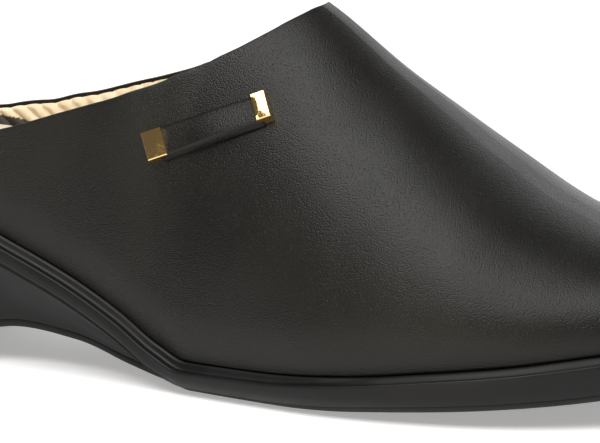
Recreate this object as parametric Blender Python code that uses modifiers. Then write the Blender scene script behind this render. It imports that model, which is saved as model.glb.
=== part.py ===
"""Right shoe of a pair: a backless wedge clog with a closed toe.

The shoe stands on its sole with its toe to +X and its lateral (outer) side to -Y, in metres, +Z up.
The origin lies on the floor under the middle of the sole. A station is a share of the last's
length, 0 at the back of the heel and 1 at the tip of the toe. The feather line is where the
upper meets the sole: its plan, its height and the last's cross-sections above it come from the
LAST table, and every piece is worked out from that one form.
"""

import math
from bisect import bisect_right

import bmesh
import bpy
from mathutils import Matrix, Vector

# Driving dimensions, in metres

LAST_LENGTH = 0.250
BALL_WIDTH = 0.088
INSTEP_HEIGHT = 0.083
PLATFORM_HEIGHT = 0.0082
HEEL_RISE = 0.0338
TOE_SPRING = 0.0138
ARCH_LIFT = 0.0095
TOE_SWING = 0.004
HEEL_ROUND = 0.027
TOE_ROUND = 0.072
TOE_FRONT_ROUND = 0.030
RIDGE_OFFSET = 0.002

UPPER_WALL = 0.0020
SIDE_BULGE = 0.0022
BULGE_HEIGHT = 0.014
GAP = 0.0003

SEAT_MARGIN = 0.0006
LEDGE_WIDTH = 0.0030
SHOULDER_DROP = 0.0022
BAND_HEIGHT = 0.0030
GROOVE_WIDTH = 0.0007
GROOVE_DEPTH = 0.0010
STEP_DEPTH = 0.0006
OUTSOLE_THICKNESS = 0.0019
OUTSOLE_CHAMFER = 0.0007

INSOLE_HEEL_THICKNESS = 0.0084
INSOLE_BALL_THICKNESS = 0.0060
INSOLE_TOE_THICKNESS = 0.0030
INSOLE_CLEARANCE = 0.0007
INSOLE_EDGE = 0.0010
DISH_WIDTH = 0.0070
DISH_DEPTH = 0.0007

STRAP_WIDTH = 0.0064
STRAP_THICKNESS = 0.0019
STRAP_EDGE = 0.0005
CAP_BACK_LENGTH = 0.0052
CAP_FRONT_LENGTH = 0.0038
CAP_WALL = 0.0004
CAP_EDGE = 0.00025
CAP_CLEARANCE = 0.0003
CAP_END = 0.0010

# Shares that shape the forms: the exponent of the toe's plan, 2 for an ellipse and more for a
# squarer toe, how far along its slope the ledge's top turns down, and the most of the side's
# height that the band and the groove may take where the sole is thin

TOE_FULL = 2.4
SHOULDER_TURN = 0.72
LOWEST_BAND = 0.70
WIDEST_GROOVE = 0.10

# The station of the origin, and the wedge's side between the groove and its foot: for each ring
# the share of the side's height above it and the share of the undercut it is drawn in by

ORIGIN_STATION = 0.5
HOLLOW_COLUMNS = ("down", "in")
HOLLOW = (
    (0.00, 0.00),
    (0.35, 0.45),
    (0.70, 0.80),
    (1.00, 1.00),
)

# How finely the forms are faceted

OUTLINE_POINTS = 90
UPPER_ROWS = 14
STRAP_STEPS = 12

# The last. lateral and medial are the feather line's half widths, in halves of the ball width,
# before the heel and toe are rounded. rise is the feather line's height in heel rises and
# spring its toe spring. ridge is the height of the last's ridge over the feather line in
# instep heights (behind the throat it is a foot's, which nothing covers). full is the
# exponent of the cross-section: 2 for an ellipse, less for a leaner one.
LAST_COLUMNS = ("station", "lateral", "medial", "rise", "spring", "ridge", "full")
LAST = (
    (0.000, 0.64, 0.64, 1.00, 0.00, 0.98, 2.00),
    (0.050, 0.66, 0.66, 1.00, 0.00, 1.02, 2.00),
    (0.155, 0.68, 0.64, 0.99, 0.00, 1.14, 2.00),
    (0.215, 0.68, 0.60, 0.88, 0.00, 1.20, 1.95),
    (0.260, 0.68, 0.57, 0.735, 0.00, 1.23, 1.90),
    (0.320, 0.69, 0.54, 0.535, 0.00, 1.25, 1.85),
    (0.380, 0.73, 0.54, 0.305, 0.00, 1.25, 1.80),
    (0.425, 0.77, 0.56, 0.095, 0.00, 1.20, 1.75),
    (0.460, 0.82, 0.60, 0.00, 0.00, 1.13, 1.75),
    (0.545, 0.92, 0.72, 0.00, 0.02, 1.00, 1.75),
    (0.620, 0.99, 0.84, 0.00, 0.12, 0.811, 1.80),
    (0.670, 1.00, 0.93, 0.00, 0.22, 0.686, 1.90),
    (0.725, 0.985, 0.985, 0.00, 0.35, 0.544, 2.00),
    (0.800, 0.927, 0.97, 0.00, 0.51, 0.373, 2.05),
    (0.860, 0.855, 0.94, 0.00, 0.66, 0.282, 2.10),
    (0.920, 0.775, 0.89, 0.00, 0.81, 0.225, 2.15),
    (1.000, 0.700, 0.83, 0.00, 1.00, 0.170, 2.15),
)

# The sole's side and underside. lift is the underside's toe spring and arch its height in arch
# lifts. under is the undercut of the side in ledge widths, shoulder the fall of the ledge's
# sloped top in shoulder drops, and groove the depth of the groove under the band.
SOLE_COLUMNS = ("station", "lift", "arch", "under", "shoulder", "groove")
SOLE = (
    (0.000, 0.00, 0.10, 1.30, 1.00, 1.00),
    (0.050, 0.00, 0.00, 1.40, 1.00, 1.00),
    (0.115, 0.00, 0.00, 1.70, 1.00, 1.00),
    (0.160, 0.00, 0.22, 2.10, 1.00, 1.00),
    (0.215, 0.00, 0.86, 2.50, 1.00, 1.00),
    (0.260, 0.00, 1.05, 2.70, 1.00, 1.00),
    (0.320, 0.00, 0.87, 2.60, 1.00, 1.00),
    (0.380, 0.00, 0.42, 2.40, 1.00, 1.00),
    (0.425, 0.00, 0.13, 2.30, 0.95, 0.60),
    (0.460, 0.00, 0.00, 2.20, 0.90, 0.00),
    (0.545, 0.00, 0.00, 1.95, 0.80, 0.00),
    (0.620, 0.07, 0.00, 1.60, 0.70, 0.00),
    (0.670, 0.16, 0.00, 1.25, 0.65, 0.00),
    (0.725, 0.25, 0.00, 1.00, 0.65, 0.00),
    (0.800, 0.37, 0.00, 0.80, 0.65, 0.00),
    (0.860, 0.48, 0.00, 0.70, 0.65, 0.00),
    (0.920, 0.63, 0.00, 0.62, 0.65, 0.00),
    (1.000, 0.86, 0.00, 0.60, 0.65, 0.00),
)

# The topline from the back of the heel to the throat, where it meets the ridge: its height
# over the feather line on each side, in instep heights
TOPLINE_COLUMNS = ("station", "lateral", "medial")
TOPLINE = (
    (0.000, 0.120, 0.120),
    (0.080, 0.124, 0.124),
    (0.144, 0.146, 0.146),
    (0.192, 0.197, 0.197),
    (0.240, 0.295, 0.288),
    (0.288, 0.403, 0.394),
    (0.336, 0.519, 0.505),
    (0.384, 0.647, 0.634),
    (0.432, 0.795, 0.785),
    (0.460, 0.860, 0.855),
    (0.492, 0.912, 0.910),
    (0.518, 0.958, 0.958),
    (0.538, 0.993, 0.993),
)
THROAT_STATION = 0.545

# Share by which the fan of lines from the feather line to the topline spreads at the heel
FAN = 1.8

# The strap's two ends on the lateral side: station, and height over the platform in instep
# heights, each at the middle of its metal cap
STRAP_BACK = (0.4193, 0.621)
STRAP_FRONT = (0.5235, 0.742)

COLOURS = {
    "upper_leather": ((0.012, 0.012, 0.011), 0.42, 0.0),
    "sole_black": ((0.020, 0.020, 0.021), 0.45, 0.0),
    "outsole_rubber": ((0.014, 0.014, 0.015), 0.60, 0.0),
    "insole_cream": ((0.72, 0.60, 0.44), 0.80, 0.0),
    "gold": ((0.83, 0.60, 0.27), 0.18, 1.0),
}


def clear_scene():
    """Removes whatever the file held before."""
    for item in list(bpy.data.objects):
        bpy.data.objects.remove(item, do_unlink=True)
    for group in list(bpy.data.collections):
        bpy.data.collections.remove(group)


def make_material(name):
    colour, roughness, metallic = COLOURS[name]
    material = bpy.data.materials.new(name)
    material.use_nodes = True
    shader = material.node_tree.nodes["Principled BSDF"]
    shader.inputs["Base Color"].default_value = (*colour, 1.0)
    shader.inputs["Roughness"].default_value = roughness
    shader.inputs["Metallic"].default_value = metallic
    return material


# Curves through the tables


def slopes(knots, values):
    """Slopes of a smooth curve that never overshoots its knots."""
    steps = [b - a for a, b in zip(knots, knots[1:])]
    rates = [(b - a) / h for a, b, h in zip(values, values[1:], steps)]
    found = [rates[0]]
    for before, after, h0, h1 in zip(rates, rates[1:], steps, steps[1:]):
        if before * after <= 0:
            found.append(0.0)
        else:
            w0 = 2 * h1 + h0
            w1 = h1 + 2 * h0
            found.append((w0 + w1) / (w0 / before + w1 / after))
    found.append(rates[-1])
    return found


class Curve:
    """A smooth curve through knots, read at any place between them."""

    def __init__(self, knots, values):
        self.knots = list(knots)
        self.values = list(values)
        self.slopes = slopes(self.knots, self.values)

    def __call__(self, place):
        place = min(max(place, self.knots[0]), self.knots[-1])
        i = min(bisect_right(self.knots, place) - 1, len(self.knots) - 2)
        h = self.knots[i + 1] - self.knots[i]
        t = (place - self.knots[i]) / h
        rise = (3 - 2 * t) * t * t
        start = self.values[i] * (1 - rise) + self.slopes[i] * h * t * (1 - t) ** 2
        end = self.values[i + 1] * rise - self.slopes[i + 1] * h * t * t * (1 - t)
        return start + end


def read_table(columns, rows):
    """One curve over the first column for each other column, by name."""
    table = list(zip(*rows))
    return {name: Curve(table[0], values) for name, values in zip(columns[1:], table[1:])}


last = read_table(LAST_COLUMNS, LAST)
sole = read_table(SOLE_COLUMNS, SOLE)


# The form of the last


def rounding(distance, length, full=2.0):
    """Rises from 0 at an end to 1 at length from it, as a quarter of an ellipse does."""
    short = max(0.0, 1 - max(distance, 0.0) / length)
    return max(0.0, 1 - short**full) ** (1 / full)


def end_rounding(station):
    x = station * LAST_LENGTH
    return rounding(x, HEEL_ROUND) * rounding(LAST_LENGTH - x, TOE_ROUND, TOE_FULL)


def centre_line(station):
    """The toe swings to the medial side ahead of the instep."""
    ahead = max(0.0, station - 0.6) / 0.4
    return TOE_SWING * ahead * ahead


def feather_height(station):
    spring = TOE_SPRING * last["spring"](station)
    return PLATFORM_HEIGHT + HEEL_RISE * last["rise"](station) + spring


def underside_height(station):
    return ARCH_LIFT * sole["arch"](station) + TOE_SPRING * sole["lift"](station)


def half_width(station, side):
    column = "lateral" if side < 0 else "medial"
    return BALL_WIDTH / 2 * last[column](station) * end_rounding(station)


def ridge_height(station):
    front = rounding((1 - station) * LAST_LENGTH, TOE_FRONT_ROUND)
    return INSTEP_HEIGHT * last["ridge"](station) * front


def place(station, y, z):
    """A point of the shoe, with the origin under the middle of the sole."""
    return Vector(((station - ORIGIN_STATION) * LAST_LENGTH, y, z))


def last_point(station, angle):
    """A point of the upper's outer face: angle 0 is the lateral feather line, pi the medial."""
    side = -1 if math.cos(angle) > 0 else 1
    power = 2 / last["full"](station)
    across = abs(math.cos(angle)) ** power
    height = ridge_height(station) * math.sin(angle) ** power
    low = max(0.0, 1 - height / BULGE_HEIGHT)
    bulge = SIDE_BULGE * end_rounding(station) * (1 - low * low)
    y_side = centre_line(station) + side * (half_width(station, side) + bulge)
    y_ridge = centre_line(station) + RIDGE_OFFSET
    y = y_ridge + (y_side - y_ridge) * across
    return place(station, y, feather_height(station) + height)


def angle_at(station, height):
    """The angle at which the cross-section reaches this height over the feather line."""
    share = min(1.0, height / ridge_height(station))
    return math.asin(share ** (last["full"](station) / 2))


# The two borders of the upper, each read by share of its length from heel to front

TURNS = 400
INSET_STEP = 0.0001


def along(points, values):
    """Curves of the values over the share of length run along the points."""
    run = [0.0]
    for a, b in zip(points, points[1:]):
        run.append(run[-1] + (b - a).length)
    shares = [r / run[-1] for r in run]
    return [Curve(shares, column) for column in zip(*values)]


def feather_stations():
    """Station of the feather line by share of its length from the heel's back to the toe."""
    stations = [(1 - math.cos(math.pi * i / TURNS)) / 2 for i in range(TURNS + 1)]
    points = [place(s, -half_width(s, -1) + centre_line(s), 0.0) for s in stations]
    return along(points, [(s,) for s in stations])[0]


def topline_half(column):
    """Station and angle of one side's topline by share of its length from heel to throat."""
    half = [(row[0], angle_at(row[0], row[column] * INSTEP_HEIGHT)) for row in TOPLINE]
    back = [(s, math.pi - a) for s, a in reversed(half)]
    whole = half + [(THROAT_STATION, math.pi / 2)] + back
    station, angle = along([last_point(s, a) for s, a in whole], whole)
    return lambda share: (station(share / 2), min(angle(share / 2), math.pi / 2))


feather_station = feather_stations()
topline_sides = {-1: topline_half(1), 1: topline_half(2)}


def topline(share, side):
    return topline_sides[side](share)


def column_share(column):
    """Share of the half outline at a column, and the side it is on."""
    half = OUTLINE_POINTS // 2
    return (column / half, -1) if column <= half else ((OUTLINE_POINTS - column) / half, 1)


def column_station(column):
    return feather_station(column_share(column)[0])


def upper_point(share, side, climb):
    """A point of the upper's outer face, from the feather line at climb 0 to the topline at 1."""
    start = feather_station(share)
    end, end_angle = topline(FAN * share - (FAN - 1) * share * share, side)
    reach0 = math.sqrt(max(0.0, 1 - start))
    reach1 = math.sqrt(1 - end)
    reach = reach0 * (1 - climb) + reach1 * climb
    angle = math.atan2(
        reach1 * math.sin(end_angle) * climb,
        reach0 * (1 - climb) + reach1 * math.cos(end_angle) * climb,
    )
    if side > 0:
        angle = math.pi - angle
    return last_point(1 - reach * reach, angle)


# The outline in plan, and rings of points offset from it


def outline():
    """Feather points in plan, from the heel's back round the lateral side, toe and medial side."""
    points = []
    for column in range(OUTLINE_POINTS):
        station = column_station(column)
        side = column_share(column)[1]
        y = centre_line(station) + side * half_width(station, side)
        points.append(place(station, y, 0.0))
    return points


OUTLINE = outline()


def outward(column):
    """The outline's normal in plan, pointing out of the shoe."""
    ahead = OUTLINE[(column + 1) % OUTLINE_POINTS]
    behind = OUTLINE[column - 1]
    run = ahead - behind
    return Vector((run.y, -run.x, 0.0)).normalized()


def ring(outset, height):
    """Points outset from the outline. outset and height are functions of the station."""
    points = []
    for column in range(OUTLINE_POINTS):
        station = column_station(column)
        point = OUTLINE[column] + outward(column) * outset(station)
        point.z = height(station)
        points.append(point)
    return points


def stack_mesh(rings):
    """A closed mesh through rings from top to bottom, each end closed by strips across it."""
    mesh = bmesh.new()
    rows = [[mesh.verts.new(p) for p in points] for points in rings]
    count = OUTLINE_POINTS
    for upper_row, lower_row in zip(rows, rows[1:]):
        for i in range(count):
            j = (i + 1) % count
            mesh.faces.new((upper_row[i], lower_row[i], lower_row[j], upper_row[j]))
    for row in (rows[0], rows[-1]):
        for i in range(count // 2):
            strip = [row[i], row[i + 1], row[count - i - 1], row[(count - i) % count]]
            if i == 0:
                strip = strip[:3]
            if i == count // 2 - 1:
                strip = [row[i], row[i + 1], row[count - i]]
            mesh.faces.new(strip)
    bmesh.ops.recalc_face_normals(mesh, faces=mesh.faces)
    return mesh


def finish(name, mesh, material, group, smooth_angle=35):
    """Makes the named object from a bmesh."""
    data = bpy.data.meshes.new(name)
    mesh.to_mesh(data)
    mesh.free()
    data.materials.append(material)
    data.shade_smooth()
    data.set_sharp_from_angle(angle=math.radians(smooth_angle))
    item = bpy.data.objects.new(name, data)
    group.objects.link(item)
    return item


# The pieces


def make_upper(material, group):
    """The leather upper: one wall round the foot, open at the back, the collar and underneath."""
    mesh = bmesh.new()
    rows = []
    for row in range(UPPER_ROWS + 1):
        climb = row / UPPER_ROWS
        points = []
        for column in range(OUTLINE_POINTS):
            share, side = column_share(column)
            point = upper_point(share, side, climb)
            point.z += GAP
            points.append(mesh.verts.new(point))
        rows.append(points)
    for low, high in zip(rows, rows[1:]):
        for i in range(OUTLINE_POINTS):
            j = (i + 1) % OUTLINE_POINTS
            mesh.faces.new((low[i], low[j], high[j], high[i]))
    item = finish("upper", mesh, material, group)
    wall = item.modifiers.new("wall", "SOLIDIFY")
    wall.thickness = UPPER_WALL
    wall.offset = -1
    wall.use_even_offset = True
    return item


def side_height(station):
    """Height of the midsole's side, from the feather line to the top of the outsole."""
    return feather_height(station) - underside_height(station) - OUTSOLE_THICKNESS - GAP


def undercut(station):
    return LEDGE_WIDTH * sole["under"](station)


def shoulder(station):
    return SHOULDER_DROP * sole["shoulder"](station)


def make_midsole(material, group):
    """The wedge: a shoulder round the upper, a band, a groove and a hollow undercut side."""

    def band_foot(station):
        return min(shoulder(station) + BAND_HEIGHT, side_height(station) * LOWEST_BAND)

    def groove_step(station):
        return min(GROOVE_WIDTH, side_height(station) * WIDEST_GROOVE)

    def drop(depth):
        return lambda station: feather_height(station) - depth(station)

    def below(share):
        """A height between the groove and the foot of the side."""

        def depth(station):
            top = band_foot(station) + 2 * groove_step(station)
            return top + (side_height(station) - top) * share

        return drop(depth)

    def hollow(share, pull):
        """The side's outset between the groove and its foot, drawn in by pull of the undercut."""

        def outset(station):
            step = STEP_DEPTH * sole["groove"](station)
            return LEDGE_WIDTH - step * (1 - share) - undercut(station) * pull

        return outset

    rings = [
        ring(lambda s: SEAT_MARGIN, feather_height),
        ring(lambda s: LEDGE_WIDTH * SHOULDER_TURN, drop(lambda s: shoulder(s) * SHOULDER_TURN)),
        ring(lambda s: LEDGE_WIDTH, drop(shoulder)),
        ring(lambda s: LEDGE_WIDTH, drop(band_foot)),
        ring(
            lambda s: LEDGE_WIDTH - GROOVE_DEPTH * sole["groove"](s),
            drop(lambda s: band_foot(s) + groove_step(s)),
        ),
    ]
    rings += [ring(hollow(down, pull), below(down)) for down, pull in HOLLOW]
    return finish("midsole", stack_mesh(rings), material, group)


def make_outsole(material, group):
    """The rubber tread under the wedge, flat under heel and ball, lifted at arch and toe."""

    def edge(station):
        return LEDGE_WIDTH - undercut(station)

    def top(station):
        return underside_height(station) + OUTSOLE_THICKNESS

    def corner(station):
        return underside_height(station) + OUTSOLE_CHAMFER

    rings = [
        ring(edge, top),
        ring(edge, corner),
        ring(lambda s: edge(s) - OUTSOLE_CHAMFER, underside_height),
    ]
    return finish("outsole", stack_mesh(rings), material, group)


insole_thickness = Curve(
    (0.0, 0.18, 0.50, 0.75, 1.0),
    (
        INSOLE_HEEL_THICKNESS,
        INSOLE_HEEL_THICKNESS,
        INSOLE_BALL_THICKNESS,
        INSOLE_BALL_THICKNESS,
        INSOLE_TOE_THICKNESS,
    ),
)


def cover(x, y):
    """Height of the last over the feather line at a place in plan, 0 outside its outline."""
    station = x / LAST_LENGTH + ORIGIN_STATION
    if not 0 < station < 1:
        return 0.0
    ridge = centre_line(station) + RIDGE_OFFSET
    side = -1 if y < ridge else 1
    reach = abs(centre_line(station) + side * half_width(station, side) - ridge)
    across = abs(y - ridge) / reach
    if across >= 1:
        return 0.0
    full = last["full"](station)
    return ridge_height(station) * (1 - across**full) ** (1 / full)


def inner_inset(column, height):
    """How far inside the outline the upper's inner face is at a height over the feather line."""
    lean = 0.0
    while lean < BALL_WIDTH / 2:
        spot = OUTLINE[column] - outward(column) * lean
        if cover(spot.x, spot.y) >= height + UPPER_WALL:
            break
        lean += INSET_STEP
    return lean + UPPER_WALL


def make_insole(material, group):
    """The footbed inside the upper, dished a little along its middle."""

    def inner_ring(inset, thickness):
        points = []
        for column in range(OUTLINE_POINTS):
            station = column_station(column)
            height = thickness(station)
            run = inner_inset(column, insole_thickness(station)) + INSOLE_CLEARANCE + inset
            point = OUTLINE[column] - outward(column) * run
            point.z = feather_height(station) + height
            points.append(point)
        return points

    def below_top(fall):
        return lambda s: insole_thickness(s) - fall

    rings = [
        inner_ring(INSOLE_EDGE + DISH_WIDTH, below_top(DISH_DEPTH)),
        inner_ring(INSOLE_EDGE, below_top(0.0)),
        inner_ring(0.0, below_top(INSOLE_EDGE)),
        inner_ring(0.0, lambda s: GAP),
    ]
    return finish("insole", stack_mesh(rings), material, group)


# The strap and its two metal caps


def strap_frame(share):
    """Point, direction, outward normal and side direction on the upper along the strap."""
    step = 0.01

    def spot(t):
        station = STRAP_BACK[0] + (STRAP_FRONT[0] - STRAP_BACK[0]) * t
        rise = (STRAP_BACK[1] + (STRAP_FRONT[1] - STRAP_BACK[1]) * t) * INSTEP_HEIGHT
        return station, angle_at(station, PLATFORM_HEIGHT + rise - feather_height(station))

    def on_upper(t):
        return last_point(*spot(t))

    point = on_upper(share)
    forward = (on_upper(share + step) - on_upper(share - step)).normalized()
    station, angle = spot(share)
    climb = last_point(station, angle + step) - last_point(station, angle - step)
    normal = climb.cross(forward).normalized()
    if normal.y > 0:
        normal = -normal
    across = normal.cross(forward).normalized()
    point.z += GAP
    return point, forward, normal, across


def strap_span():
    """Distance between the middles of the two caps."""
    back = strap_frame(0.0)[0]
    front = strap_frame(1.0)[0]
    return (front - back).length


def rounded_strip(frames, width, low, high):
    """A strip of rectangular section through frames, from low to high over the upper."""
    mesh = bmesh.new()
    rows = []
    for point, forward, normal, across in frames:
        corners = ((-1, low), (1, low), (1, high), (-1, high))
        spots = [point + across * (side * width / 2) + normal * lift for side, lift in corners]
        rows.append([mesh.verts.new(spot) for spot in spots])
    for a, b in zip(rows, rows[1:]):
        for i in range(4):
            j = (i + 1) % 4
            mesh.faces.new((a[i], a[j], b[j], b[i]))
    mesh.faces.new(rows[0])
    mesh.faces.new(rows[-1])
    bmesh.ops.recalc_face_normals(mesh, faces=mesh.faces)
    return mesh


def add_bevel(item, width, segments):
    bevel = item.modifiers.new("edges", "BEVEL")
    bevel.width = width
    bevel.segments = segments
    bevel.limit_method = "ANGLE"
    bevel.angle_limit = math.radians(40)


def make_strap(material, group):
    """The folded leather strip, its ends inside the caps."""
    closed = CAP_END + CAP_CLEARANCE
    back = (CAP_BACK_LENGTH / 2 - closed) / strap_span()
    front = (CAP_FRONT_LENGTH / 2 - closed) / strap_span()
    shares = [-back + (1 + back + front) * i / STRAP_STEPS for i in range(STRAP_STEPS + 1)]
    low = GAP + CAP_WALL + CAP_CLEARANCE
    mesh = rounded_strip([strap_frame(s) for s in shares], STRAP_WIDTH, low, low + STRAP_THICKNESS)
    item = finish("strap", mesh, material, group)
    add_bevel(item, STRAP_EDGE, 2)
    return item


def oriented_box(name, frame, size, centre, group):
    """A box in a strap frame. size and centre run forward, across and outward."""
    point, forward, normal, across = frame
    mesh = bmesh.new()
    bmesh.ops.create_cube(mesh, size=1.0)
    turn = Matrix((forward, across, normal)).transposed().to_4x4()
    middle = point + forward * centre[0] + across * centre[1] + normal * centre[2]
    scale = Matrix.Diagonal((*size, 1.0))
    bmesh.ops.transform(mesh, matrix=Matrix.Translation(middle) @ turn @ scale, verts=mesh.verts)
    if turn.determinant() < 0:
        bmesh.ops.reverse_faces(mesh, faces=mesh.faces)
    data = bpy.data.meshes.new(name)
    mesh.to_mesh(data)
    mesh.free()
    item = bpy.data.objects.new(name, data)
    group.objects.link(item)
    return item


def make_cap(name, share, inward, length, material, group, cutters):
    """A metal cap with a pocket that takes the strap's end. inward is +1 or -1 along the strap."""
    frame = strap_frame(share)
    pocket_width = STRAP_WIDTH + 2 * CAP_CLEARANCE
    pocket_height = STRAP_THICKNESS + 2 * CAP_CLEARANCE
    width = pocket_width + 2 * CAP_WALL
    height = pocket_height + 2 * CAP_WALL
    middle = GAP + height / 2
    item = oriented_box(name, frame, (length, width, height), (0.0, 0.0, middle), group)
    item.data.materials.append(material)
    item.data.shade_smooth()
    item.data.set_sharp_from_angle(angle=math.radians(35))
    pocket_run = 2 * (length - CAP_END)
    shift = inward * length / 2
    cutter = oriented_box(
        name + "_pocket", frame, (pocket_run, pocket_width, pocket_height), (shift, 0.0, middle), cutters
    )
    cutter.hide_render = True
    cutter.display_type = "WIRE"
    add_bevel(item, CAP_EDGE, 2)
    cut = item.modifiers.new("pocket", "BOOLEAN")
    cut.operation = "DIFFERENCE"
    cut.object = cutter
    return item


def build():
    clear_scene()
    group = bpy.data.collections.new("wedge_clog")
    cutters = bpy.data.collections.new("cutters")
    bpy.context.scene.collection.children.link(group)
    bpy.context.scene.collection.children.link(cutters)
    leather = make_material("upper_leather")
    gold = make_material("gold")
    make_outsole(make_material("outsole_rubber"), group)
    make_midsole(make_material("sole_black"), group)
    make_insole(make_material("insole_cream"), group)
    make_upper(leather, group)
    make_strap(leather, group)
    make_cap("cap_back", 0.0, 1, CAP_BACK_LENGTH, gold, group, cutters)
    make_cap("cap_front", 1.0, -1, CAP_FRONT_LENGTH, gold, group, cutters)


build()
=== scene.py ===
import math
from bisect import bisect_right

import bpy
from mathutils import Matrix, Vector, noise


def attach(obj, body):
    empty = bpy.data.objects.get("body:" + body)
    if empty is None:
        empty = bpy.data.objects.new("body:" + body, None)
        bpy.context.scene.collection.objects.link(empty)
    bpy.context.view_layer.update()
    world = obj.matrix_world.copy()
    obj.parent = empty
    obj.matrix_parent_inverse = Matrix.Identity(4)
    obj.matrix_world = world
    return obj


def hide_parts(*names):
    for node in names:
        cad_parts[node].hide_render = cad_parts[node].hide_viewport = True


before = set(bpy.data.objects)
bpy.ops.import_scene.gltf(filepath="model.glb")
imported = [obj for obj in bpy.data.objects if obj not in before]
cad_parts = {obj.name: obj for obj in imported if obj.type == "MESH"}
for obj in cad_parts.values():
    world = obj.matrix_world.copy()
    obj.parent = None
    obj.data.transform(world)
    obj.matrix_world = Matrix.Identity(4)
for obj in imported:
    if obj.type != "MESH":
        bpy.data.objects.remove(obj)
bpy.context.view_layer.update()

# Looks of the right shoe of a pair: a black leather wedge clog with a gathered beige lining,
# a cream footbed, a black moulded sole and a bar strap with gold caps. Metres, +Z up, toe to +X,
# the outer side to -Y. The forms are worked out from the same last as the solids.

# Driving dimensions, as in the solids

LAST_LENGTH = 0.250
BALL_WIDTH = 0.088
INSTEP_HEIGHT = 0.083
PLATFORM_HEIGHT = 0.0082
HEEL_RISE = 0.0338
TOE_SPRING = 0.0138
ARCH_LIFT = 0.0095
TOE_SWING = 0.004
HEEL_ROUND = 0.027
TOE_ROUND = 0.072
TOE_FRONT_ROUND = 0.030
TOE_FULL = 2.4
RIDGE_OFFSET = 0.002

UPPER_WALL = 0.0020
SIDE_BULGE = 0.0022
BULGE_HEIGHT = 0.014
GAP = 0.0003

LEDGE_WIDTH = 0.0030
SHOULDER_DROP = 0.0022
BAND_HEIGHT = 0.0030
GROOVE_DEPTH = 0.0010
GROOVE_WIDTH = 0.0014
OUTSOLE_THICKNESS = 0.0019

# Station and thickness
INSOLE_THICKNESS = ((0.0, 0.0084), (0.18, 0.0084), (0.50, 0.0060), (0.75, 0.0060), (1.0, 0.0030))
INSOLE_CLEARANCE = 0.0007

LAST_COLUMNS = ("station", "lateral", "medial", "rise", "spring", "ridge", "full")
LAST = (
    (0.000, 0.64, 0.64, 1.00, 0.00, 0.98, 2.00),
    (0.050, 0.66, 0.66, 1.00, 0.00, 1.02, 2.00),
    (0.155, 0.68, 0.64, 0.99, 0.00, 1.14, 2.00),
    (0.215, 0.68, 0.60, 0.88, 0.00, 1.20, 1.95),
    (0.260, 0.68, 0.57, 0.735, 0.00, 1.23, 1.90),
    (0.320, 0.69, 0.54, 0.535, 0.00, 1.25, 1.85),
    (0.380, 0.73, 0.54, 0.305, 0.00, 1.25, 1.80),
    (0.425, 0.77, 0.56, 0.095, 0.00, 1.20, 1.75),
    (0.460, 0.82, 0.60, 0.00, 0.00, 1.13, 1.75),
    (0.545, 0.92, 0.72, 0.00, 0.02, 1.00, 1.75),
    (0.620, 0.99, 0.84, 0.00, 0.12, 0.811, 1.80),
    (0.670, 1.00, 0.93, 0.00, 0.22, 0.686, 1.90),
    (0.725, 0.985, 0.985, 0.00, 0.35, 0.544, 2.00),
    (0.800, 0.927, 0.97, 0.00, 0.51, 0.373, 2.05),
    (0.860, 0.855, 0.94, 0.00, 0.66, 0.282, 2.10),
    (0.920, 0.775, 0.89, 0.00, 0.81, 0.225, 2.15),
    (1.000, 0.700, 0.83, 0.00, 1.00, 0.170, 2.15),
)

SOLE_COLUMNS = ("station", "lift", "arch", "under", "shoulder", "groove")
SOLE = (
    (0.000, 0.00, 0.10, 1.30, 1.00, 1.00),
    (0.050, 0.00, 0.00, 1.40, 1.00, 1.00),
    (0.115, 0.00, 0.00, 1.70, 1.00, 1.00),
    (0.160, 0.00, 0.22, 2.10, 1.00, 1.00),
    (0.215, 0.00, 0.86, 2.50, 1.00, 1.00),
    (0.260, 0.00, 1.05, 2.70, 1.00, 1.00),
    (0.320, 0.00, 0.87, 2.60, 1.00, 1.00),
    (0.380, 0.00, 0.42, 2.40, 1.00, 1.00),
    (0.425, 0.00, 0.13, 2.30, 0.95, 0.60),
    (0.460, 0.00, 0.00, 2.20, 0.90, 0.00),
    (0.545, 0.00, 0.00, 1.95, 0.80, 0.00),
    (0.620, 0.07, 0.00, 1.60, 0.70, 0.00),
    (0.670, 0.16, 0.00, 1.25, 0.65, 0.00),
    (0.725, 0.25, 0.00, 1.00, 0.65, 0.00),
    (0.800, 0.37, 0.00, 0.80, 0.65, 0.00),
    (0.860, 0.48, 0.00, 0.70, 0.65, 0.00),
    (0.920, 0.63, 0.00, 0.62, 0.65, 0.00),
    (1.000, 0.86, 0.00, 0.60, 0.65, 0.00),
)

# Station, and the lateral and medial topline over the feather line in instep heights
TOPLINE = (
    (0.000, 0.120, 0.120),
    (0.080, 0.124, 0.124),
    (0.144, 0.146, 0.146),
    (0.192, 0.197, 0.197),
    (0.240, 0.295, 0.288),
    (0.288, 0.403, 0.394),
    (0.336, 0.519, 0.505),
    (0.384, 0.647, 0.634),
    (0.432, 0.795, 0.785),
    (0.460, 0.860, 0.855),
    (0.492, 0.912, 0.910),
    (0.518, 0.958, 0.958),
    (0.538, 0.993, 0.993),
)
THROAT_STATION = 0.545
FAN = 1.8
ORIGIN_STATION = 0.5
SWING_FROM = 0.6

STRAP_BACK = (0.4193, 0.621)
STRAP_FRONT = (0.5235, 0.742)
STRAP_WIDTH = 0.0072
STRAP_FOOT = 0.0015
STRAP_ARCH = 0.0009
CAP_BACK_LENGTH = 0.0052
CAP_FRONT_LENGTH = 0.0038
CAP_WIDTH = 0.0070
CAP_FOOT = 0.0006
CAP_HEIGHT = 0.0030

# The photograph's camera: where it stands around the shoe, and the ball's outer edge in it

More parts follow.
